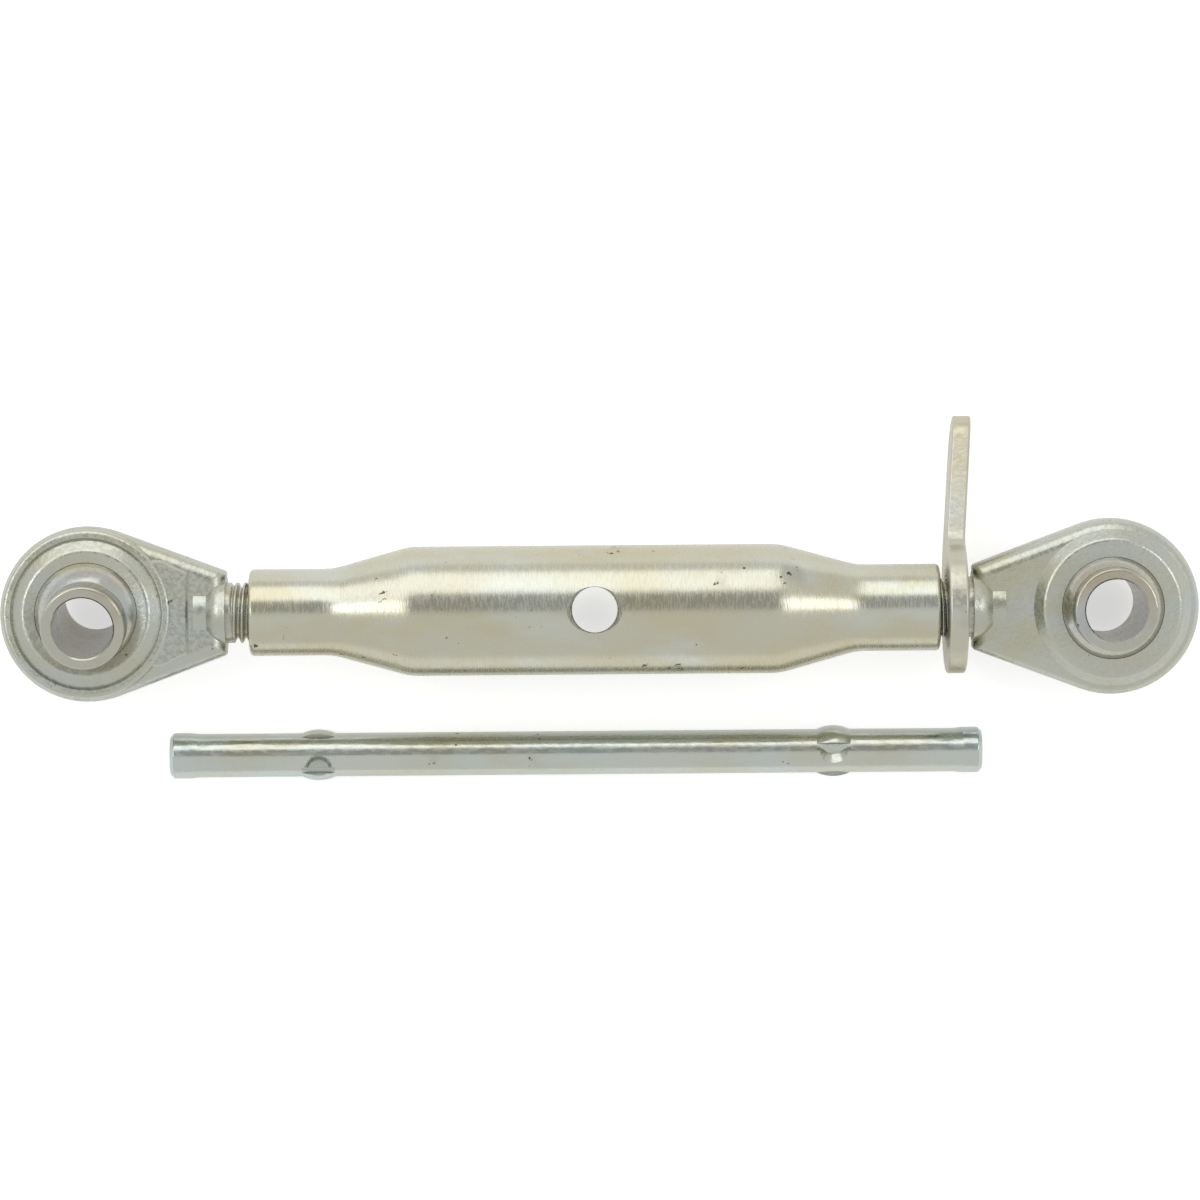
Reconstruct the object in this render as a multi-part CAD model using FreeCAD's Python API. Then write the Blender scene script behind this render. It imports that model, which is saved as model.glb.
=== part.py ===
"""Tractor top link, Category 1: a turnbuckle with a swivel ball in the eye at each end.

Millimetres. The origin is the centre of the barrel's cross hole, on the link's axis. +X runs along the
link towards the right-hand thread, +Z along the cross hole and up, away from the surface that the link
lies on. Each piece of the link is written as one STEP file in parts/.
"""

import FreeCAD, Part
import math
import os

V = FreeCAD.Vector
X_AXIS = V(1, 0, 0)
Z_AXIS = V(0, 0, 1)
ORIGIN = V(0, 0, 0)

# ---- Thread: 3/4 inch, 10 threads to the inch, drawn as plain cylinders ----
thread_radius = 9.525
thread_clearance = 0.05

# ---- Barrel: one tube, drawn down and tapped at both ends ----
barrel_length = 216.0
barrel_radius = 20.3
barrel_wall = 5.4
barrel_end_radius = 13.6
end_cylinder_length = 26.0
swage_length = 24.0
swage_blend_radius = 20.0
barrel_edge_radius = 1.2
tapped_length = 32.0
inner_swage_length = 20.0
entry_chamfer = 1.2
cross_hole_radius = 7.25
cross_hole_chamfer = 1.4

# ---- Swivel balls ----
ball_radius = 19.0
ball_width = 44.0
ball_bore_radius = 9.65
bore_chamfer = 0.4
collar_chamfer = 0.9
collar_root_radius = 0.8
swivel_limit = 12.5
collar_clearance = 0.25
socket_clearance = 0.1

# ---- Rod ends: eye, web, neck and shank in one forging ----
eye_radius = 27.5
eye_reach = 43.3
mouth_radius = 16.0
web_thickness = 15.0
neck_width = 26.3
forged_edge_radius = 4.5
neck_corner_radius = 1.2
shank_length = 98.0
relief_length = 2.4
relief_depth = 0.35
shank_tip_chamfer = 1.6
dome_radius = 11.5
dome_length = 10.0
dome_sink = 1.2
# The plain face of the eye
face_width = 5.4
face_slope = 3.1
# The face whose lip was rolled in over the ball
lip_rise = 0.5
lip_crest_radius = 1.8
lip_inset = 3.6
groove_inset = 7.2
groove_depth = 0.7
rim_height = 9.3
rim_width = 2.4
rim_edge_radius = 1.3
pad_height = 1.2
pad_end = 31.6
pad_corner = 4.0

# ---- Lock lever: a tapped plate on the right-hand thread ----
lever_thickness = 5.8
lever_head_radius = 20.8
lever_reach = 62.0
handle_width = 22.5
handle_tip_width = 19.6
handle_tip_radius = 8.5
handle_root_radius = 9.0
handle_bend_start = 19.0
handle_bend = 4.5
handle_bend_radius = 60.0
lever_edge_radius = 0.7
lever_entry_chamfer = 0.8

# ---- Tommy bar ----
bar_radius = 6.9
bar_length = 257.0
bar_end_swell = 0.35
bar_swell_length = 9.0
bar_end_chamfer = 1.2
crimp_inset = 47.0
crimp_width = 10.6
crimp_height = 1.2
crimp_sweep_up = 38.0
crimp_sweep_down = 34.0
pocket_floor_radius = 3.7
pocket_rim_radius = 5.4
pocket_floor_height = 4.3
shelf_offset = 3.9
shelf_step = 0.5
right_crimp_turn = 32.0

# ---- How the pieces stand to each other as the link lies at rest ----
left_neck_gap = 7.4
right_neck_gap = 10.4
lever_gap = 2.2
left_ball_tilt = 12.0
right_end_roll = 4.0
bar_offset = 45.3
bar_shift = -6.3

# ---- Worked out from the sizes above ----
half_barrel = barrel_length / 2
tapped_radius = thread_radius + thread_clearance
socket_radius = ball_radius + socket_clearance
mouth_height = math.sqrt(socket_radius**2 - mouth_radius**2)
mouth_angle = math.degrees(math.asin(mouth_radius / socket_radius))
collar_radius = socket_radius * math.sin(math.radians(mouth_angle - swivel_limit)) - collar_clearance
half_web = web_thickness / 2
left_eye_x = -(half_barrel + left_neck_gap + eye_reach)
right_eye_x = half_barrel + right_neck_gap + eye_reach
tilt = math.radians(left_ball_tilt)
rest_height = ball_width / 2 * math.cos(tilt) + (collar_radius - collar_chamfer) * math.sin(tilt)
tip_along = lever_reach - handle_tip_radius
tip_across = handle_tip_width / 2 - handle_tip_radius
tip_drop = (rest_height - handle_tip_radius) / math.hypot(tip_along, tip_across)
lever_droop = math.degrees(math.asin(tip_drop) - math.atan2(tip_across, tip_along))
lever_x = half_barrel + lever_gap + lever_thickness / 2
bar_z = bar_radius + bar_end_swell - rest_height


def in_plan(u, v):
    """A profile's point laid in the XY plane."""
    return V(u, v, 0)


def in_lever_plane(u, v):
    """A profile's point laid in the YZ plane, with u along the lever's handle."""
    return V(0, u, v)


def in_section(u, v):
    """A profile's point laid in the XZ plane, with u as the radius from the Z axis."""
    return V(u, 0, v)


def rounded_face(corners, lay):
    """A face through corners (u, v, radius), laid by lay(u, v). A radius rounds its corner by a tangent arc."""
    points = [V(u, v, 0) for u, v, radius in corners]
    starts = []
    arcs = []
    ends = []
    for index, (u, v, radius) in enumerate(corners):
        here = points[index]
        back = (points[index - 1] - here).normalize()
        ahead = (points[(index + 1) % len(points)] - here).normalize()
        half_angle = back.getAngle(ahead) / 2
        setback = radius / math.tan(half_angle)
        inward = (back + ahead).normalize() if radius else V(0, 0, 0)
        middle = here + inward * (radius / math.sin(half_angle) - radius)
        starts.append(here + back * setback)
        arcs.append(middle)
        ends.append(here + ahead * setback)
    edges = []
    for index, (u, v, radius) in enumerate(corners):
        if radius:
            arc = [lay(p.x, p.y) for p in (starts[index], arcs[index], ends[index])]
            edges.append(Part.Arc(*arc).toShape())
        following = starts[(index + 1) % len(corners)]
        leaving = ends[index]
        edges.append(Part.makeLine(lay(leaving.x, leaving.y), lay(following.x, following.y)))
    return Part.Face(Part.Wire(edges))


def turned_about_x(corners):
    """A solid turned about the X axis from corners (x, radius, rounding)."""
    return rounded_face(corners, in_plan).revolve(ORIGIN, X_AXIS, 360)


def turned_about_z(corners):
    """A solid turned about the Z axis from corners (radius, z, rounding)."""
    return rounded_face(corners, in_section).revolve(ORIGIN, Z_AXIS, 360)


def turned(shape, axis, angle):
    """A copy of a shape, turned about an axis through the origin."""
    copy = shape.copy()
    copy.rotate(ORIGIN, axis, angle)
    return copy


def moved(shape, x, y=0.0, z=0.0):
    """A copy of a shape, moved."""
    copy = shape.copy()
    copy.translate(V(x, y, z))
    return copy


def edges_where(shape, test):
    """The edges whose middle point passes a test."""
    return [edge for edge in shape.Edges if test(edge.valueAt((edge.FirstParameter + edge.LastParameter) / 2))]


def barrel():
    """The tube with its two drawn-down, tapped ends and the hole for the tommy bar."""
    neck_end = half_barrel - end_cylinder_length
    swage_end = neck_end - swage_length
    outside = turned_about_x(
        [
            (-half_barrel, 0, 0),
            (-half_barrel, barrel_end_radius, barrel_edge_radius),
            (-neck_end, barrel_end_radius, swage_blend_radius),
            (-swage_end, barrel_radius, swage_blend_radius),
            (swage_end, barrel_radius, swage_blend_radius),
            (neck_end, barrel_end_radius, swage_blend_radius),
            (half_barrel, barrel_end_radius, barrel_edge_radius),
            (half_barrel, 0, 0),
        ]
    )
    hollow_radius = barrel_radius - barrel_wall
    tapped_end = half_barrel - tapped_length
    hollow_end = tapped_end - inner_swage_length
    mouth = tapped_radius + entry_chamfer
    inside = turned_about_x(
        [
            (-half_barrel, 0, 0),
            (-half_barrel, mouth, 0),
            (-half_barrel + entry_chamfer, tapped_radius, 0),
            (-tapped_end, tapped_radius, 0),
            (-hollow_end, hollow_radius, 0),
            (hollow_end, hollow_radius, 0),
            (tapped_end, tapped_radius, 0),
            (half_barrel - entry_chamfer, tapped_radius, 0),
            (half_barrel, mouth, 0),
            (half_barrel, 0, 0),
        ]
    )
    return outside.cut(inside).cut(cross_hole())


def cross_hole():
    """The tool that cuts the tommy bar's hole, with a countersink at both ends."""
    start = barrel_radius - cross_hole_chamfer
    tool = Part.makeCylinder(cross_hole_radius, 2 * barrel_radius, V(0, 0, -barrel_radius), Z_AXIS)
    flare = cross_hole_radius + 2 * cross_hole_chamfer
    sink = Part.makeCone(cross_hole_radius, flare, 2 * cross_hole_chamfer, V(0, 0, start), Z_AXIS)
    return tool.fuse(sink).fuse(turned(sink, X_AXIS, 180))


def ball():
    """A swivel ball on the Z axis: the ball, a collar at each side and the pin's bore."""
    half_width = ball_width / 2
    collars = turned_about_z(
        [
            (0, -half_width, 0),
            (collar_radius, -half_width, collar_chamfer),
            (collar_radius, half_width, collar_chamfer),
            (0, half_width, 0),
        ]
    )
    body = Part.makeSphere(ball_radius).fuse(collars)
    root_height = math.sqrt(ball_radius**2 - collar_radius**2)
    roots = edges_where(
        body,
        lambda p: abs(abs(p.z) - root_height) < 0.01 and abs(math.hypot(p.x, p.y) - collar_radius) < 0.01,
    )
    body = body.makeFillet(collar_root_radius, roots)
    mouth = ball_bore_radius + bore_chamfer
    bore = turned_about_z(
        [
            (0, -half_width, 0),
            (mouth, -half_width, 0),
            (ball_bore_radius, -half_width + bore_chamfer, 0),
            (ball_bore_radius, half_width - bore_chamfer, 0),
            (mouth, half_width, 0),
            (0, half_width, 0),
        ]
    )
    return body.cut(bore)


def teardrop(radius, reach, half_width):
    """The eye's circle joined by its tangents to a straight end, as a face in the XY plane."""
    distance = math.hypot(reach, half_width)
    bearing = math.atan2(half_width, reach) + math.acos(radius / distance)
    upper = V(radius * math.cos(bearing), radius * math.sin(bearing), 0)
    lower = V(upper.x, -upper.y, 0)
    edges = [
        Part.Arc(upper, V(-radius, 0, 0), lower).toShape(),
        Part.makeLine(lower, V(reach, -half_width, 0)),
        Part.makeLine(V(reach, -half_width, 0), V(reach, half_width, 0)),
        Part.makeLine(V(reach, half_width, 0), upper),
    ]
    return Part.Face(Part.Wire(edges))


def forged_plate():
    """The eye's blank and the web, as thick as the web and with its forged edges rounded."""
    outline = teardrop(eye_radius, eye_reach, neck_width / 2)
    plate = outline.extrude(V(0, 0, web_thickness))
    plate.translate(V(0, 0, -half_web))
    corners = edges_where(plate, lambda p: p.x > eye_reach - 0.01 and abs(p.z) < 0.01)
    plate = plate.makeFillet(neck_corner_radius, corners)
    rims = edges_where(plate, lambda p: abs(abs(p.z) - half_web) < 0.01 and p.x < eye_reach - neck_width / 4)
    return plate.makeFillet(forged_edge_radius, rims)


def plain_boss():
    """The raised ring around the mouth on the plain face, up the +Z side."""
    flat_end = mouth_radius + face_width
    return turned_about_z(
        [
            (0, 0, 0),
            (flat_end + face_slope, 0, 0),
            (flat_end + face_slope, half_web, 0),
            (flat_end, mouth_height, 1.5),
            (0, mouth_height, 0),
        ]
    )


def rolled_boss():
    """The rim, groove and rolled lip around the mouth on the other face, down the -Z side."""
    rim_end = eye_radius - rim_edge_radius
    lip_crest = mouth_radius + lip_inset
    groove = mouth_radius + groove_inset
    return turned_about_z(
        [
            (0, 0, 0),
            (eye_radius, 0, 0),
            (rim_end, -rim_height, rim_edge_radius),
            (rim_end - rim_width, -rim_height, 0.3),
            (groove, -rim_height + groove_depth, 0),
            (lip_crest, -mouth_height - lip_rise, lip_crest_radius),
            (mouth_radius, -mouth_height, 0),
            (0, -mouth_height, 0),
        ]
    )


def number_pad():
    """The low raised flat on the web, beside the rolled lip, that a forging is marked on."""
    half_root = neck_width / 2 + pad_corner - forged_edge_radius
    outline = [
        (0, -half_root - pad_corner, 0),
        (pad_end - 2 * pad_corner, -half_root - pad_corner, 2.0),
        (pad_end, -half_root, 1.0),
        (pad_end, half_root, 1.0),
        (pad_end - 2 * pad_corner, half_root + pad_corner, 2.0),
        (0, half_root + pad_corner, 0),
    ]
    pad = rounded_face(outline, in_plan).extrude(V(0, 0, -half_web - pad_height))
    tops = edges_where(pad, lambda p: p.z < -half_web - pad_height + 0.01 and p.x > 1)
    return pad.makeChamfer(pad_height * 0.6, tops)


def neck_dome():
    """The round root of the shank, which sinks into the web."""
    return turned_about_x(
        [
            (eye_reach, 0, 0),
            (eye_reach, dome_radius, 0),
            (eye_reach - dome_length / 3, dome_radius - 0.5, 6.0),
            (eye_reach - dome_length, half_web - dome_sink, 0),
            (eye_reach - dome_length, 0, 0),
        ]
    )


def shank():
    """The threaded shank, from the neck to its chamfered tip."""
    tip = eye_reach + shank_length
    relief = thread_radius - relief_depth
    return turned_about_x(
        [
            (eye_reach - dome_length, 0, 0),
            (eye_reach - dome_length, relief, 0),
            (eye_reach + relief_length, relief, 0),
            (eye_reach + relief_length + relief_depth, thread_radius, 0),
            (tip - shank_tip_chamfer, thread_radius, 0),
            (tip, thread_radius - shank_tip_chamfer, 0),
            (tip, 0, 0),
        ]
    )


def rod_end():
    """One forging, with the eye's centre at the origin, the shank along +X and the plain face up."""
    forging = forged_plate()
    for piece in (plain_boss(), rolled_boss(), number_pad(), neck_dome(), shank()):
        forging = forging.fuse(piece)
    mouth = Part.makeCylinder(mouth_radius, 2 * eye_radius, V(0, 0, -eye_radius), Z_AXIS)
    return forging.cut(mouth).cut(Part.makeSphere(socket_radius)).removeSplitter()


def lever_outline():
    """The lever's flat outline as a thick prism along X: a round head and a tapered handle along +Y."""
    depth = 4 * lever_thickness
    half_root = handle_width / 2
    half_tip = handle_tip_width / 2
    handle = rounded_face(
        [
            (0, -half_root, 0),
            (lever_reach, -half_tip, handle_tip_radius),
            (lever_reach, half_tip, handle_tip_radius),
            (0, half_root, 0),
        ],
        in_lever_plane,
    ).extrude(V(depth, 0, 0))
    handle.translate(V(-depth / 2, 0, 0))
    head = Part.makeCylinder(lever_head_radius, depth, V(-depth / 2, 0, 0), X_AXIS)
    outline = head.fuse(handle)
    roots = edges_where(
        outline,
        lambda p: abs(p.x) < 0.01 and p.y > 0 and abs(math.hypot(p.y, p.z) - lever_head_radius) < 0.01,
    )
    return outline.makeFillet(handle_root_radius, roots)


def bent_slab():
    """A slab as thick as the lever, across the X axis at its foot and bent towards +X above the head."""
    half = lever_thickness / 2
    bend = math.radians(handle_bend)
    along = V(math.sin(bend), math.cos(bend), 0) * 2 * lever_reach
    across = V(math.cos(bend), -math.sin(bend), 0) * half
    corner_shift = half * math.tan(bend / 2)
    far = V(0, handle_bend_start, 0) + along
    outer = far - across
    inner = far + across
    profile = rounded_face(
        [
            (-half, -2 * lever_head_radius, 0),
            (half, -2 * lever_head_radius, 0),
            (half, handle_bend_start - corner_shift, handle_bend_radius - half),
            (inner.x, inner.y, 0),
            (outer.x, outer.y, 0),
            (-half, handle_bend_start + corner_shift, handle_bend_radius + half),
        ],
        in_plan,
    )
    slab = profile.extrude(V(0, 0, 4 * lever_head_radius))
    slab.translate(V(0, 0, -2 * lever_head_radius))
    return slab


def lock_lever():
    """The lock nut's plate with its bent handle, tapped along the X axis, with the handle along +Y."""
    plate = lever_outline().common(bent_slab())
    rims = [edge for edge in plate.Edges if on_lever_rim(edge)]
    plate = plate.makeFillet(lever_edge_radius, rims)
    half = lever_thickness / 2
    mouth = tapped_radius + lever_entry_chamfer
    tapping = turned_about_x(
        [
            (-half, 0, 0),
            (-half, mouth, 0),
            (-half + lever_entry_chamfer, tapped_radius, 0),
            (half - lever_entry_chamfer, tapped_radius, 0),
            (half, mouth, 0),
            (half, 0, 0),
        ]
    )
    return plate.cut(tapping)


def on_lever_rim(edge):
    """Whether an edge of the bent plate runs round its outline, not through it or across its bend."""
    half_way = (edge.FirstParameter + edge.LastParameter) / 2
    middle = edge.valueAt(half_way)
    through_plate = abs(edge.tangentAt(half_way).x) > 0.5
    across_bend = abs(middle.z) < 0.01 and 0 < middle.y < lever_reach - handle_tip_radius
    return not through_plate and not across_bend


def bar_blank():
    """The bar before its crimps: a round rod, a little swollen where its ends were sheared."""
    half = bar_length / 2
    end_radius = bar_radius + bar_end_swell
    swell_start = half - bar_swell_length
    chamfer_start = half - bar_end_chamfer
    sheared_radius = end_radius - bar_end_chamfer
    return turned_about_x(
        [
            (-half, 0, 0),
            (-half, sheared_radius, 0),
            (-chamfer_start, end_radius, 0.5),
            (-swell_start - bar_swell_length / 3, end_radius, 0),
            (-swell_start, bar_radius, 0),
            (swell_start, bar_radius, 0),
            (swell_start + bar_swell_length / 3, end_radius, 0),
            (chamfer_start, end_radius, 0.5),
            (half, sheared_radius, 0),
            (half, 0, 0),
        ]
    )


def crimp_ear():
    """The lug that a crimp raises on the bar's -Y side, at X zero."""
    half = crimp_width / 2
    foot = bar_radius - crimp_height
    edges = [
        Part.Arc(V(-half, -bar_radius, 0), V(0, -bar_radius - crimp_height, 0), V(half, -bar_radius, 0)).toShape(),
        Part.makeLine(V(half, -bar_radius, 0), V(half, -foot, 0)),
        Part.makeLine(V(half, -foot, 0), V(-half, -foot, 0)),
        Part.makeLine(V(-half, -foot, 0), V(-half, -bar_radius, 0)),
    ]
    section = turned(Part.Face(Part.Wire(edges)), X_AXIS, crimp_sweep_down)
    return section.revolve(ORIGIN, -X_AXIS, crimp_sweep_up + crimp_sweep_down)


def crimp_pocket():
    """The half-moon bite that the crimping punch leaves beside its ear, open towards +Z."""
    depth = bar_radius - pocket_floor_height
    flare = (pocket_rim_radius - pocket_floor_radius) / depth
    rim = pocket_floor_radius + flare * 2 * depth
    centre = V(0, -pocket_rim_radius, pocket_floor_height)
    bite = Part.makeCone(pocket_floor_radius, rim, 2 * depth, centre, Z_AXIS)
    beside = Part.makeBox(4 * rim, 4 * rim, 4 * rim, V(-2 * rim, -shelf_offset, 0))
    shelf_height = pocket_floor_height + shelf_step
    shelf = Part.makeBox(
        crimp_width,
        bar_radius,
        bar_radius,
        V(-crimp_width / 2, -shelf_offset - bar_radius, shelf_height),
    )
    return bite.common(beside).fuse(shelf)


def crimped(rod, x, turn):
    """The rod with one crimp at x, turned about its axis: two ears opposite each other, each with its pocket."""
    for side in (0, 180):
        ear = moved(turned(crimp_ear(), X_AXIS, turn + side), x)
        pocket = moved(turned(crimp_pocket(), X_AXIS, turn + side), x)
        rod = rod.fuse(ear).cut(pocket)
    return rod


def tommy_bar():
    """The bar that turns the barrel, with a crimp near each end, made from that end by the same punches."""
    reach = bar_length / 2 - crimp_inset
    rod = crimped(bar_blank(), -reach, 0)
    rod = turned(crimped(turned(rod, Z_AXIS, 180), -reach, -right_crimp_turn), Z_AXIS, 180)
    return rod.removeSplitter()


def write_parts():
    """Write each piece, in its place, to its own STEP file."""
    pieces = {
        "barrel": barrel(),
        "left_rod_end": moved(turned(rod_end(), X_AXIS, 180), left_eye_x),
        "left_ball": moved(turned(ball(), X_AXIS, left_ball_tilt), left_eye_x),
        "right_rod_end": moved(turned(turned(rod_end(), Z_AXIS, 180), X_AXIS, right_end_roll), right_eye_x),
        "right_ball": moved(turned(ball(), X_AXIS, right_end_roll), right_eye_x),
        "lock_lever": moved(turned(lock_lever(), X_AXIS, -lever_droop), lever_x),
        "tommy_bar": moved(tommy_bar(), bar_shift, -bar_offset, bar_z),
    }
    os.makedirs("parts", exist_ok=True)
    for name, shape in pieces.items():
        print(name, len(shape.Solids), shape.isValid(), round(shape.Volume))
        shape.exportStep(f"parts/{name}.step")


write_parts()
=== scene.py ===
"""Dresses a Category 1 tractor top link: plated finishes, rolled threads, forged detail and a pale studio."""

import logging
import math
from dataclasses import dataclass, field
from enum import Enum

import bmesh
import bpy
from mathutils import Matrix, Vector


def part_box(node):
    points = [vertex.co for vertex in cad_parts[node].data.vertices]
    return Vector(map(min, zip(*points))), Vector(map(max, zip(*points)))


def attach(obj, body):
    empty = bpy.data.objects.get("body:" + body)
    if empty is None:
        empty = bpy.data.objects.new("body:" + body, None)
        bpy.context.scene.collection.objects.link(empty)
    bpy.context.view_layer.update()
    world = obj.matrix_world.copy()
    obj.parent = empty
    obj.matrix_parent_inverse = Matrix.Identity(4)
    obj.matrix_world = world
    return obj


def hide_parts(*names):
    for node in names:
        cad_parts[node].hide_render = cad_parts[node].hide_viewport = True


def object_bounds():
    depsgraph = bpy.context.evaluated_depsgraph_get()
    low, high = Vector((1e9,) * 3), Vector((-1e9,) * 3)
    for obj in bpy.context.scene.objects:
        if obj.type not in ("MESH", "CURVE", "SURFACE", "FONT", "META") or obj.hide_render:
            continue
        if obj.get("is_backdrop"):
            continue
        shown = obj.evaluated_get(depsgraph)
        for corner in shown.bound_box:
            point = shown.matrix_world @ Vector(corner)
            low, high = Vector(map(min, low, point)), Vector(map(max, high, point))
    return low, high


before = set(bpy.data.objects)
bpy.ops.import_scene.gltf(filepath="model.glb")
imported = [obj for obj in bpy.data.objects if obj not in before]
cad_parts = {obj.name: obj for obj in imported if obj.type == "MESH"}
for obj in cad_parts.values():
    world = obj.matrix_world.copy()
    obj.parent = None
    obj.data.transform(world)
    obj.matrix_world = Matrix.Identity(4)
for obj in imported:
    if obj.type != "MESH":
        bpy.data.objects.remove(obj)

log = logging.getLogger("top_link")
MM = 0.001
RGB = tuple[float, float, float]


class Hand(Enum):
    """Which way a screw thread winds."""

    LEFT = -1.0
    RIGHT = 1.0


class Grain(Enum):
    """How the fine marks of a finish lie on the metal, as a stretch of the pattern along X, Y and Z."""

    ROUND_THE_LINK = (9.0, 1.6, 1.6)
    ALONG_THE_BAR = (1.0, 3.2, 3.2)
    EVEN = (1.0, 1.0, 1.0)


# ---------------------------------------------------------------- node helpers


def add_node(tree: bpy.types.NodeTree, kind: str, **settings: object) -> bpy.types.Node:
    """Add a node to a tree.

    Args:
        tree: The tree that the node goes in.
        kind: The node's type name.
        settings: Values of the node's own properties.

    Returns:
        The new node.
    """
    node = tree.nodes.new(kind)
    for name, value in settings.items():
        setattr(node, name, value)
    return node


def join(tree: bpy.types.NodeTree, source: bpy.types.NodeSocket, target: bpy.types.NodeSocket) -> None:
    """Link an output to an input."""
    tree.links.new(source, target)


def maths(tree: bpy.types.NodeTree, operation: str, *values: object) -> bpy.types.NodeSocket:
    """Add a Math node.

    Args:
        tree: The tree that the node goes in.
        operation: The Math node's operation.
        values: Numbers or output sockets, in the order of the inputs.

    Returns:
        The node's output.
    """
    node = add_node(tree, "ShaderNodeMath", operation=operation)
    for socket, value in zip(node.inputs, values):
        if isinstance(value, bpy.types.NodeSocket):
            join(tree, value, socket)
        else:
            socket.default_value = value
    return node.outputs[0]


def map_range(
    tree: bpy.types.NodeTree,
    value: bpy.types.NodeSocket,
    spans: tuple[float, float, float, float],
    smooth: bool = True,
) -> bpy.types.NodeSocket:
    """Map a value from one span to another, clamped.

    Args:
        tree: The tree that the node goes in.
        value: The value to map.
        spans: From the lowest and highest value, to what they become.
        smooth: Whether the ends ease in and out.

    Returns:
        The mapped value.
    """
    node = add_node(tree, "ShaderNodeMapRange", interpolation_type="SMOOTHSTEP" if smooth else "LINEAR")
    join(tree, value, node.inputs["Value"])
    for name, number in zip(("From Min", "From Max", "To Min", "To Max"), spans):
        node.inputs[name].default_value = number
    return node.outputs["Result"]


def blend_colours(
    tree: bpy.types.NodeTree,
    share: bpy.types.NodeSocket,
    first: bpy.types.NodeSocket,
    second: bpy.types.NodeSocket,
) -> bpy.types.NodeSocket:
    """Mix two colour outputs by a share from 0 to 1.

    Args:
        tree: The tree that the node goes in.
        share: How much of the second colour shows.
        first: The colour at share 0.
        second: The colour at share 1.

    Returns:
        The mixed colour.
    """
    node = add_node(tree, "ShaderNodeMix", data_type="RGBA")
    join(tree, share, node.inputs["Factor"])
    join(tree, first, node.inputs["A"])
    join(tree, second, node.inputs["B"])
    return node.outputs["Result"]


def new_group(name: str, inputs: dict[str, str], outputs: dict[str, str]) -> tuple:
    """Make an empty shader node group with named sockets.

    Args:
        name: The group's name.
        inputs: Socket names and their types.
        outputs: Socket names and their types.

    Returns:
        The group, its input node and its output node.
    """
    group = bpy.data.node_groups.new(name, "ShaderNodeTree")
    for socket, kind in inputs.items():
        group.interface.new_socket(socket, in_out="INPUT", socket_type=kind)
    for socket, kind in outputs.items():
        group.interface.new_socket(socket, in_out="OUTPUT", socket_type=kind)
    return group, add_node(group, "NodeGroupInput"), add_node(group, "NodeGroupOutput")


def scaled_noise(
    tree: bpy.types.NodeTree,
    vector: bpy.types.NodeSocket,
    scale: object,
    detail: float = 3.0,
    roughness: float = 0.55,
) -> bpy.types.NodeSocket:
    """Add a noise texture.

    Args:
        tree: The tree that the node goes in.
        vector: Where the noise is read.
        scale: The noise's scale, as a number or an output socket.
        detail: How many octaves it has.
        roughness: How strong the fine octaves are.

    Returns:
        The noise's value.
    """
    node = add_node(tree, "ShaderNodeTexNoise")
    join(tree, vector, node.inputs["Vector"])
    if isinstance(scale, bpy.types.NodeSocket):
        join(tree, scale, node.inputs["Scale"])
    else:
        node.inputs["Scale"].default_value = scale
    node.inputs["Detail"].default_value = detail
    node.inputs["Roughness"].default_value = roughness
    return node.outputs["Fac"]


# ---------------------------------------------------------------- effects that the finishes share


def passivation_tint() -> bpy.types.NodeTree:
    """Make the group for the faint yellow and blue clouds of a passivated zinc coat.

    Returns:
        A group that puts out the coat's colour.
    """
    names = {"Vector": "NodeSocketVector", "Cloud Scale": "NodeSocketFloat"}
    colours = {key: "NodeSocketColor" for key in ("Base", "Warm", "Cool")}
    group, inp, out = new_group("passivation_tint", {**names, **colours}, {"Color": "NodeSocketColor"})
    stretch = add_node(group, "ShaderNodeVectorMath", operation="MULTIPLY")
    join(group, inp.outputs["Vector"], stretch.inputs[0])
    stretch.inputs[1].default_value = (0.45, 1.0, 1.0)
    warm = scaled_noise(group, stretch.outputs[0], inp.outputs["Cloud Scale"], 4.0)
    shift = add_node(group, "ShaderNodeVectorMath", operation="ADD")
    join(group, stretch.outputs[0], shift.inputs[0])
    shift.inputs[1].default_value = (3.1, 1.7, 5.3)
    cool = scaled_noise(group, shift.outputs[0], inp.outputs["Cloud Scale"], 3.0)
    warm_share = map_range(group, warm, (0.40, 0.66, 0.0, 1.0))
    cool_share = map_range(group, cool, (0.44, 0.70, 0.0, 1.0))
    tinted = blend_colours(group, warm_share, inp.outputs["Base"], inp.outputs["Warm"])
    join(group, blend_colours(group, cool_share, tinted, inp.outputs["Cool"]), out.inputs["Color"])
    return group


def fine_grain() -> bpy.types.NodeTree:
    """Make the group for the fine uneven skin of the metal under its coat.

    Returns:
        A group that puts out a height and a mask of the same marks.
    """
    sockets = {"Vector": "NodeSocketVector", "Stretch": "NodeSocketVector", "Scale": "NodeSocketFloat"}
    group, inp, out = new_group("fine_grain", sockets, {"Height": "NodeSocketFloat", "Mask": "NodeSocketFloat"})
    stretch = add_node(group, "ShaderNodeVectorMath", operation="MULTIPLY")
    join(group, inp.outputs["Vector"], stretch.inputs[0])
    join(group, inp.outputs["Stretch"], stretch.inputs[1])
    marks = scaled_noise(group, stretch.outputs[0], inp.outputs["Scale"], 2.0, 0.5)
    even = scaled_noise(group, inp.outputs["Vector"], inp.outputs["Scale"], 4.0, 0.6)
    total = maths(group, "MULTIPLY_ADD", marks, 0.7, maths(group, "MULTIPLY", even, 0.3))
    join(group, total, out.inputs["Height"])
    join(group, map_range(group, marks, (0.42, 0.62, 0.0, 1.0)), out.inputs["Mask"])
    return group


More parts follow.
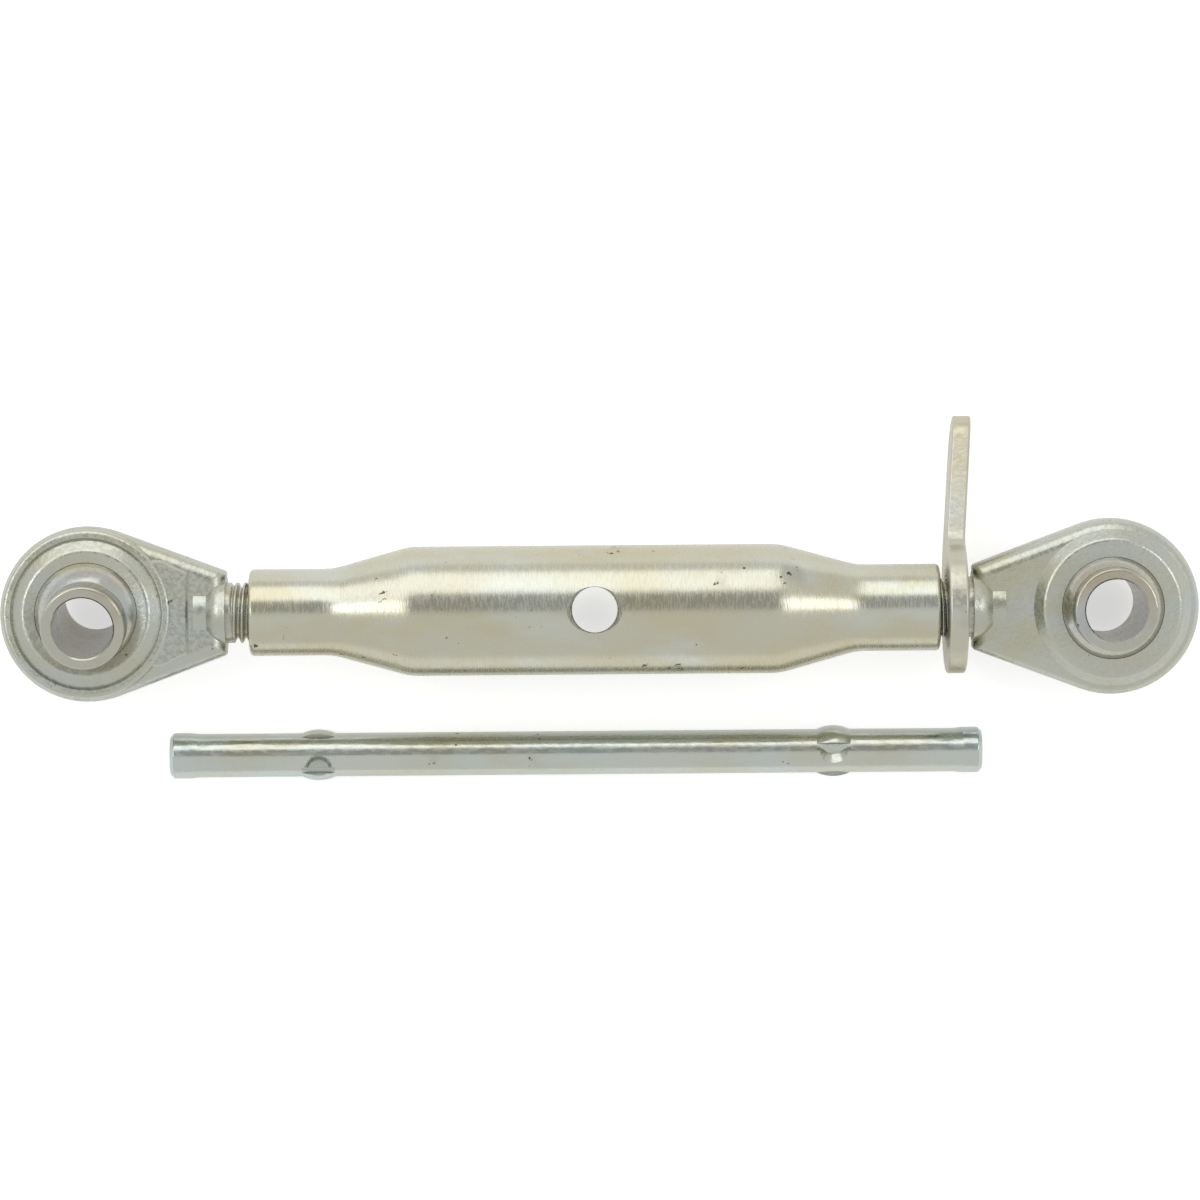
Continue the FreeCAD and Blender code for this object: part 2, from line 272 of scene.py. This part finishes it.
def dark_specks() -> bpy.types.NodeTree:
    """Make the group for the small dark pits and the stains that handling leaves.

    Returns:
        A group that puts out masks of the pits and the stains.
    """
    sockets = {"Vector": "NodeSocketVector", "Scale": "NodeSocketFloat", "Share": "NodeSocketFloat"}
    group, inp, out = new_group("dark_specks", sockets, {"Specks": "NodeSocketFloat", "Stains": "NodeSocketFloat"})
    fine = scaled_noise(group, inp.outputs["Vector"], inp.outputs["Scale"], 2.0, 0.5)
    patch = scaled_noise(group, inp.outputs["Vector"], maths(group, "MULTIPLY", inp.outputs["Scale"], 0.13), 2.0)
    edge = maths(group, "SUBTRACT", 0.80, inp.outputs["Share"])
    raised = maths(group, "MULTIPLY_ADD", patch, 0.45, maths(group, "MULTIPLY", fine, 0.75))
    over = maths(group, "SUBTRACT", raised, edge)
    join(group, map_range(group, over, (0.0, 0.05, 0.0, 1.0)), out.inputs["Specks"])
    join(group, map_range(group, patch, (0.62, 0.78, 0.0, 1.0)), out.inputs["Stains"])
    return group


# ---------------------------------------------------------------- finishes


@dataclass(frozen=True)
class PlatedSteel:
    """A zinc-plated steel finish.

    Attributes:
        name: The material's name.
        base: The coat's main colour.
        warm: The colour of its yellowish clouds.
        cool: The colour of its bluish clouds.
        roughness: The lowest and highest roughness over the surface.
        grain: How the fine marks lie.
        grain_scale: How many marks there are to the metre.
        relief: The depth of the marks in metres.
        stain_colour: The colour of the specks and stains.
        speck_share: How much of the surface the specks take.
        stain_strength: How dark the stains are.
    """

    name: str
    base: RGB
    warm: RGB
    cool: RGB
    roughness: tuple[float, float]
    grain: Grain
    grain_scale: float
    relief: float
    stain_colour: RGB = (0.10, 0.085, 0.06)
    speck_share: float = 0.0
    stain_strength: float = 0.2

    def build(self, groups: dict[str, bpy.types.NodeTree]) -> bpy.types.Material:
        """Build the material.

        Args:
            groups: The shared effects, by name.

        Returns:
            The material.
        """
        material = bpy.data.materials.new(self.name)
        material.use_nodes = True
        tree = material.node_tree
        shader = tree.nodes["Principled BSDF"]
        place = add_node(tree, "ShaderNodeTexCoord").outputs["Object"]
        tint = self._placed(tree, groups["passivation_tint"], place)
        tint.inputs["Cloud Scale"].default_value = 55.0
        for socket, colour in (("Base", self.base), ("Warm", self.warm), ("Cool", self.cool)):
            tint.inputs[socket].default_value = (*colour, 1.0)
        grain = self._placed(tree, groups["fine_grain"], place)
        grain.inputs["Scale"].default_value = self.grain_scale
        grain.inputs["Stretch"].default_value = self.grain.value
        specks = self._placed(tree, groups["dark_specks"], place)
        specks.inputs["Scale"].default_value = 420.0
        specks.inputs["Share"].default_value = self.speck_share
        dirt = add_node(tree, "ShaderNodeRGB")
        dirt.outputs[0].default_value = (*self.stain_colour, 1.0)
        stains = maths(tree, "MULTIPLY", specks.outputs["Stains"], self.stain_strength)
        marked = blend_colours(tree, stains, tint.outputs["Color"], dirt.outputs[0])
        coloured = blend_colours(tree, specks.outputs["Specks"], marked, dirt.outputs[0])
        join(tree, coloured, shader.inputs["Base Color"])
        low, high = self.roughness
        join(tree, map_range(tree, grain.outputs["Mask"], (0.0, 1.0, low, high), False), shader.inputs["Roughness"])
        bump = add_node(tree, "ShaderNodeBump")
        bump.inputs["Strength"].default_value = 1.0
        bump.inputs["Distance"].default_value = self.relief
        join(tree, grain.outputs["Height"], bump.inputs["Height"])
        join(tree, bump.outputs["Normal"], shader.inputs["Normal"])
        shader.inputs["Metallic"].default_value = 1.0
        return material

    @staticmethod
    def _placed(tree: bpy.types.NodeTree, group: bpy.types.NodeTree, place: bpy.types.NodeSocket) -> bpy.types.Node:
        """Place a shared effect in a material.

        Args:
            tree: The material's tree.
            group: The effect.
            place: The coordinates that it reads.

        Returns:
            The group node.
        """
        node = add_node(tree, "ShaderNodeGroup", node_tree=group)
        join(tree, place, node.inputs["Vector"])
        return node


@dataclass(frozen=True)
class Finishes:
    """The finishes of the link's pieces."""

    barrel: PlatedSteel = PlatedSteel(
        "zinc_on_drawn_tube", (0.56, 0.545, 0.44), (0.55, 0.52, 0.37), (0.58, 0.60, 0.53),
        (0.20, 0.30), Grain.ROUND_THE_LINK, 260.0, 0.00006, speck_share=0.02,
    )
    forging: PlatedSteel = PlatedSteel(
        "zinc_on_forging", (0.52, 0.53, 0.46), (0.50, 0.49, 0.38), (0.50, 0.53, 0.50),
        (0.26, 0.38), Grain.EVEN, 700.0, 0.00010, speck_share=0.01,
    )
    ball: PlatedSteel = PlatedSteel(
        "zinc_on_turned_ball", (0.50, 0.49, 0.42), (0.46, 0.42, 0.33), (0.50, 0.52, 0.50),
        (0.14, 0.26), Grain.EVEN, 800.0, 0.00002,
    )
    lever: PlatedSteel = PlatedSteel(
        "zinc_on_cut_plate", (0.56, 0.55, 0.46), (0.56, 0.52, 0.38), (0.54, 0.56, 0.52),
        (0.30, 0.42), Grain.EVEN, 600.0, 0.00008, speck_share=0.01,
    )
    bar: PlatedSteel = PlatedSteel(
        "zinc_on_drawn_rod", (0.56, 0.585, 0.53), (0.54, 0.54, 0.44), (0.54, 0.60, 0.58),
        (0.18, 0.28), Grain.ALONG_THE_BAR, 300.0, 0.00003, (0.20, 0.12, 0.06), 0.01,
    )
    thread: PlatedSteel = PlatedSteel(
        "zinc_on_rolled_thread", (0.50, 0.49, 0.42), (0.45, 0.42, 0.32), (0.48, 0.50, 0.47),
        (0.24, 0.36), Grain.EVEN, 900.0, 0.00003,
    )


def dress(node: bpy.types.Object, material: bpy.types.Material) -> None:
    """Give every material slot of an object one material.

    Args:
        node: The object.
        material: The material.
    """
    if not node.material_slots:
        node.data.materials.append(material)
    for slot in node.material_slots:
        slot.material = material


# ---------------------------------------------------------------- thread


@dataclass(frozen=True)
class ScrewThread:
    """A rolled thread with its core, grown along +X by a Geometry Nodes tree.

    Attributes:
        crest_radius: The thread's major radius in metres.
        pitch: The distance from turn to turn in metres.
        depth: The depth of the groove in metres.
        columns: How many columns of points there are to a pitch.
        spokes: How many points there are to a turn.
    """

    crest_radius: float = 9.5 * MM
    pitch: float = 2.54 * MM
    depth: float = 1.5 * MM
    columns: int = 12
    spokes: int = 72

    def tree(self, material: bpy.types.Material) -> bpy.types.NodeTree:
        """Build the tree: a sheared grid rolled up, whose columns follow the helix.

        Args:
            material: The thread's finish.

        Returns:
            The geometry node tree, with its sizes as named inputs.
        """
        tree = bpy.data.node_groups.new("screw_thread", "GeometryNodeTree")
        tree.interface.new_socket("Geometry", in_out="OUTPUT", socket_type="NodeSocketGeometry")
        for name in ("Start", "Length", "Pitch", "Crest Radius", "Depth", "Hand"):
            tree.interface.new_socket(name, in_out="INPUT", socket_type="NodeSocketFloat")
        inp = add_node(tree, "NodeGroupInput")
        out = add_node(tree, "NodeGroupOutput")
        turns = maths(tree, "DIVIDE", inp.outputs["Length"], inp.outputs["Pitch"])
        rows = maths(tree, "MULTIPLY", maths(tree, "ADD", maths(tree, "CEIL", turns), 2.0), float(self.columns))
        grid = add_node(tree, "GeometryNodeMeshGrid")
        join(tree, rows, grid.inputs["Vertices X"])
        grid.inputs["Vertices Y"].default_value = self.spokes + 1
        index = add_node(tree, "GeometryNodeInputIndex").outputs[0]
        across = float(self.spokes + 1)
        row = maths(tree, "FLOOR", maths(tree, "DIVIDE", maths(tree, "ADD", index, 0.5), across))
        spoke = maths(tree, "SUBTRACT", index, maths(tree, "MULTIPLY", row, across))
        share = maths(tree, "DIVIDE", spoke, float(self.spokes))
        phase = maths(tree, "DIVIDE", row, float(self.columns))
        helix = maths(tree, "SUBTRACT", maths(tree, "ADD", phase, share), 1.0)
        raw = maths(tree, "MULTIPLY", helix, inp.outputs["Pitch"])
        along = maths(tree, "MINIMUM", maths(tree, "MAXIMUM", raw, 0.0), inp.outputs["Length"])
        wave = maths(tree, "ABSOLUTE", maths(tree, "SUBTRACT", maths(tree, "FRACT", phase), 0.5))
        groove = map_range(tree, wave, (0.10, 0.43, 0.0, 1.0))
        from_end = maths(tree, "MINIMUM", along, maths(tree, "SUBTRACT", inp.outputs["Length"], along))
        run_out = map_range(tree, from_end, (1.6 * MM, 3.2 * MM, 0.0, 1.0))
        cut = maths(tree, "MULTIPLY", maths(tree, "MULTIPLY", groove, inp.outputs["Depth"]), run_out)
        radius = maths(tree, "SUBTRACT", inp.outputs["Crest Radius"], cut)
        inside = maths(tree, "COMPARE", raw, along, 1e-7)
        end_row = maths(tree, "MULTIPLY", self._not_end(tree, row, rows), 1.0)
        closed = maths(tree, "MULTIPLY", radius, maths(tree, "MAXIMUM", inside, end_row))
        angle = maths(tree, "MULTIPLY", maths(tree, "MULTIPLY", share, math.tau), inp.outputs["Hand"])
        place = add_node(tree, "ShaderNodeCombineXYZ")
        join(tree, maths(tree, "ADD", along, inp.outputs["Start"]), place.inputs["X"])
        join(tree, maths(tree, "MULTIPLY", closed, maths(tree, "COSINE", angle)), place.inputs["Y"])
        join(tree, maths(tree, "MULTIPLY", closed, maths(tree, "SINE", angle)), place.inputs["Z"])
        shaped = add_node(tree, "GeometryNodeSetPosition")
        join(tree, grid.outputs["Mesh"], shaped.inputs["Geometry"])
        join(tree, place.outputs[0], shaped.inputs["Position"])
        merged = add_node(tree, "GeometryNodeMergeByDistance")
        merged.inputs["Distance"].default_value = 2e-6
        join(tree, shaped.outputs[0], merged.inputs["Geometry"])
        smooth = add_node(tree, "GeometryNodeSetShadeSmooth")
        join(tree, merged.outputs[0], smooth.inputs["Geometry"])
        realised = add_node(tree, "GeometryNodeRealizeInstances")
        join(tree, smooth.outputs[0], realised.inputs[0])
        finish = add_node(tree, "GeometryNodeSetMaterial")
        finish.inputs["Material"].default_value = material
        join(tree, realised.outputs[0], finish.inputs["Geometry"])
        join(tree, finish.outputs[0], out.inputs[0])
        return tree

    @staticmethod
    def _not_end(
        tree: bpy.types.NodeTree, row: bpy.types.NodeSocket, rows: bpy.types.NodeSocket
    ) -> bpy.types.NodeSocket:
        """Tell the inner rows from the first and last, which close the thread's ends.

        Args:
            tree: The tree.
            row: Each point's row.
            rows: How many rows there are.

        Returns:
            1 on the inner rows and 0 on the end rows.
        """
        first = maths(tree, "GREATER_THAN", row, 0.5)
        last = maths(tree, "LESS_THAN", row, maths(tree, "SUBTRACT", rows, 1.5))
        return maths(tree, "MULTIPLY", first, last)

    def grow(self, name: str, start: float, length: float, hand: Hand, tree: bpy.types.NodeTree) -> bpy.types.Object:
        """Grow one thread and turn it into a plain mesh.

        Args:
            name: The piece's name.
            start: Where the thread begins on the link's axis.
            length: How long it is.
            hand: Which way it winds.
            tree: The tree from tree().

        Returns:
            The mesh object.
        """
        carrier = bpy.data.objects.new(name, bpy.data.meshes.new(name))
        bpy.context.scene.collection.objects.link(carrier)
        modifier = carrier.modifiers.new("thread", "NODES")
        modifier.node_group = tree
        sizes = {
            "Start": start, "Length": length, "Pitch": self.pitch,
            "Crest Radius": self.crest_radius, "Depth": self.depth, "Hand": hand.value,
        }
        for item in tree.interface.items_tree:
            if item.in_out == "INPUT":
                modifier[item.identifier] = sizes[item.name]
        return plain_mesh(carrier)


def plain_mesh(carrier: bpy.types.Object) -> bpy.types.Object:
    """Replace an object's modifiers by their result.

    Args:
        carrier: The object.

    Returns:
        The same object, with a plain mesh.
    """
    evaluated = carrier.evaluated_get(bpy.context.evaluated_depsgraph_get())
    mesh = bpy.data.meshes.new_from_object(evaluated)
    carrier.modifiers.clear()
    carrier.data = mesh
    mesh.name = carrier.name
    return carrier


# ---------------------------------------------------------------- studio


@dataclass
class Studio:
    """The pale floor, the soft lamps and the camera straight above the link.

    Attributes:
        camera_place: The camera's place in metres.
        camera_roll: The camera's turn about its own line of sight, in degrees.
        lens: The focal length in millimetres on a 36 mm sensor.
        floor_size: The floor's side in metres.
    """

    camera_place: tuple[float, float, float] = (1.7 * MM, 3.07 * MM, 1.5)
    camera_roll: float = -0.47
    lens: float = 143.4
    floor_size: float = 40.0
    floor_level: float = field(default=0.0, init=False)

    def build(self) -> None:
        """Build the camera, the world, the lamps and the floor."""
        scene = bpy.context.scene
        scene.view_settings.view_transform = "Standard"
        self.floor_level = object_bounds()[0].z
        self._camera(scene)
        self._world(scene)
        self._floor(scene)
        self._lamp(scene, "key_softbox", (-0.35, 1.2, 1.0), (1.8, 1.2), 6.0)
        self._lamp(scene, "left_softbox", (-0.85, 0.2, 1.15), (0.5, 0.6), 1.6)
        self._lamp(scene, "right_softbox", (0.85, 0.2, 1.15), (0.5, 0.6), 1.6)

    def _camera(self, scene: bpy.types.Scene) -> None:
        """Hang the camera over the link."""
        data = bpy.data.cameras.new("camera")
        data.lens = self.lens
        data.sensor_width = 36.0
        data.clip_end = 100.0
        camera = bpy.data.objects.new("camera", data)
        camera.location = self.camera_place
        camera.rotation_euler = (0.0, 0.0, math.radians(self.camera_roll))
        scene.collection.objects.link(camera)
        scene.camera = camera

    def _lamp(
        self,
        scene: bpy.types.Scene,
        name: str,
        place: tuple[float, float, float],
        size: tuple[float, float],
        power: float,
    ) -> None:
        """Hang a soft rectangular lamp that points at the link.

        Args:
            scene: The scene.
            name: The lamp's name.
            place: Its place in metres.
            size: Its two sides in metres.
            power: Its power in watts.
        """
        data = bpy.data.lights.new(name, "AREA")
        data.shape = "RECTANGLE"
        data.size, data.size_y = size
        data.energy = power
        lamp = bpy.data.objects.new(name, data)
        lamp.location = place
        lamp.rotation_euler = Vector(place).to_track_quat("Z", "Y").to_euler()
        scene.collection.objects.link(lamp)

    def _world(self, scene: bpy.types.Scene) -> None:
        """Light from all round: white to the eye, and a pale room with a darker ceiling in the metal."""
        world = bpy.data.worlds.new("studio")
        world.use_nodes = True
        scene.world = world
        tree = world.node_tree
        tree.nodes.clear()
        path = add_node(tree, "ShaderNodeLightPath")
        place = add_node(tree, "ShaderNodeTexCoord").outputs["Generated"]
        split = add_node(tree, "ShaderNodeSeparateXYZ")
        join(tree, place, split.inputs[0])
        room = self._room(tree, split)
        out = add_node(tree, "ShaderNodeOutputWorld")
        seen = maths(tree, "MAXIMUM", path.outputs["Is Glossy Ray"], path.outputs["Is Transmission Ray"])
        level = add_node(tree, "ShaderNodeMix", data_type="FLOAT")
        join(tree, seen, level.inputs["Factor"])
        level.inputs["A"].default_value = 0.8
        join(tree, room, level.inputs["B"])
        shown = add_node(tree, "ShaderNodeMix", data_type="FLOAT")
        join(tree, path.outputs["Is Camera Ray"], shown.inputs["Factor"])
        join(tree, level.outputs["Result"], shown.inputs["A"])
        shown.inputs["B"].default_value = 1.0
        background = add_node(tree, "ShaderNodeBackground")
        join(tree, shown.outputs["Result"], background.inputs["Strength"])
        join(tree, background.outputs[0], out.inputs["Surface"])

    @staticmethod
    def _room(tree: bpy.types.NodeTree, split: bpy.types.Node) -> bpy.types.NodeSocket:
        """Say how bright the room is in each direction that polished metal mirrors.

        Args:
            tree: The world's tree.
            split: The direction, split in its three parts.

        Returns:
            The brightness, from 0 to 1.
        """
        along = maths(tree, "ABSOLUTE", split.outputs["X"])
        gap = map_range(tree, along, (0.16, 0.38, 1.0, 0.0))
        front = map_range(tree, split.outputs["Y"], (-0.06, 0.02, 0.0, 1.0))
        back = map_range(tree, split.outputs["Y"], (0.46, 0.60, 1.0, 0.0))
        up = map_range(tree, split.outputs["Z"], (0.0, 0.2, 0.0, 1.0))
        dark = maths(tree, "MULTIPLY", maths(tree, "MULTIPLY", gap, front), maths(tree, "MULTIPLY", back, up))
        return maths(tree, "SUBTRACT", 1.0, maths(tree, "MULTIPLY", dark, 0.5))

    def _floor(self, scene: bpy.types.Scene) -> None:
        """Lay the floor: white to the eye, with the link's own shadow on it."""
        half = self.floor_size / 2
        mesh = bpy.data.meshes.new("floor")
        corners = [(-half, -half), (half, -half), (half, half), (-half, half)]
        mesh.from_pydata([(x, y, self.floor_level) for x, y in corners], [], [(0, 1, 2, 3)])
        floor = bpy.data.objects.new("floor", mesh)
        scene.collection.objects.link(floor)
        material = bpy.data.materials.new("pale_floor")
        material.use_nodes = True
        tree = material.node_tree
        tree.nodes.clear()
        matte = add_node(tree, "ShaderNodeBsdfDiffuse")
        matte.inputs["Color"].default_value = (0.85, 0.85, 0.85, 1.0)
        path = add_node(tree, "ShaderNodeLightPath")
        glow = add_node(tree, "ShaderNodeEmission")
        mirrored = maths(tree, "MULTIPLY", path.outputs["Is Glossy Ray"], 0.3)
        level = maths(tree, "MULTIPLY_ADD", path.outputs["Is Camera Ray"], 0.55, mirrored)
        join(tree, level, glow.inputs["Strength"])
        both = add_node(tree, "ShaderNodeAddShader")
        join(tree, matte.outputs[0], both.inputs[0])
        join(tree, glow.outputs[0], both.inputs[1])
        out = add_node(tree, "ShaderNodeOutputMaterial")
        join(tree, both.outputs[0], out.inputs["Surface"])
        mesh.materials.append(material)
        floor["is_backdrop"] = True


# ---------------------------------------------------------------- the link's pieces


@dataclass
class Barrel:
    """The drawn tube between the two rod ends."""

    node: str = "barrel"
    body: str = "barrel"

    def build(self, materials: dict[str, bpy.types.Material]) -> None:
        """Dress the tube."""
        dress(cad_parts[self.node], materials["barrel"])
        log.info("barrel dressed")


@dataclass
class RodEnd:
    """A forged rod end with its swivel ball and its thread.

    Attributes:
        node: The forging's node, which is also its body.
        ball: The swivel ball's node.
        hand: Which way the thread winds.
        shank_length: The length of the threaded shank in metres.
        seat: How far the thread reaches into the neck in metres.
        screw: The thread on the shank.
    """

    node: str
    ball: str
    hand: Hand
    shank_length: float = 98.0 * MM
    seat: float = 0.3 * MM
    screw: ScrewThread = field(default_factory=ScrewThread)

    def build(self, materials: dict[str, bpy.types.Material], tree: bpy.types.NodeTree) -> None:
        """Dress the forging and the ball, and give the shank its thread.

        Args:
            materials: The finishes, by name.
            tree: The thread's geometry node tree.
        """
        low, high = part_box(self.node)
        points_right = self.hand is Hand.LEFT
        tip = high.x if points_right else low.x
        neck = tip - self.shank_length if points_right else tip + self.shank_length
        forging = self._forging(neck, points_right)
        dress(forging, materials["forging"])
        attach(forging, self.node)
        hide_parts(self.node)
        start = neck - self.seat if points_right else tip
        thread = self.screw.grow(self.node + "_thread", start, self.shank_length + self.seat, self.hand, tree)
        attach(thread, self.node)
        dress(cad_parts[self.ball], materials["ball"])
        log.info("%s: forging and thread of %d faces", self.node, len(thread.data.polygons))

    def _forging(self, neck: float, points_right: bool) -> bpy.types.Object:
        """Copy the rod end without its plain shank.

        Args:
            neck: Where the shank leaves the neck.
            points_right: Whether the shank points along +X.

        Returns:
            The forging's mesh object.
        """
        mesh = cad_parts[self.node].data.copy()
        mesh.name = self.node + "_forging"
        sign = 1.0 if points_right else -1.0
        form = bmesh.new()
        form.from_mesh(mesh)
        shank = [f for f in form.faces if sign * (f.calc_center_median().x - neck) > 0.01 * MM]
        bmesh.ops.delete(form, geom=shank, context="FACES")
        form.to_mesh(mesh)
        form.free()
        forging = bpy.data.objects.new(mesh.name, mesh)
        bpy.context.scene.collection.objects.link(forging)
        return forging


@dataclass
class LockLever:
    """The lock lever on the right-hand thread."""

    node: str = "lock_lever"

    def build(self, materials: dict[str, bpy.types.Material]) -> None:
        """Dress the lever."""
        dress(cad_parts[self.node], materials["lever"])
        log.info("lever dressed")


@dataclass
class TommyBar:
    """The loose bar that turns the barrel."""

    node: str = "tommy_bar"

    def build(self, materials: dict[str, bpy.types.Material]) -> None:
        """Dress the bar."""
        dress(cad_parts[self.node], materials["bar"])
        log.info("bar dressed")


def main() -> None:
    """Build the studio and dress every piece."""
    logging.basicConfig(level=logging.INFO, format="%(name)s: %(message)s")
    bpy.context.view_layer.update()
    Studio().build()
    groups = {"passivation_tint": passivation_tint(), "fine_grain": fine_grain(), "dark_specks": dark_specks()}
    finishes = Finishes()
    materials = {name: finish.build(groups) for name, finish in vars(finishes).items()}
    thread_tree = ScrewThread().tree(materials["thread"])
    Barrel().build(materials)
    for rod_end in (RodEnd("left_rod_end", "left_ball", Hand.LEFT), RodEnd("right_rod_end", "right_ball", Hand.RIGHT)):
        rod_end.build(materials, thread_tree)
    LockLever().build(materials)
    TommyBar().build(materials)


if __name__ == "__main__":
    main()
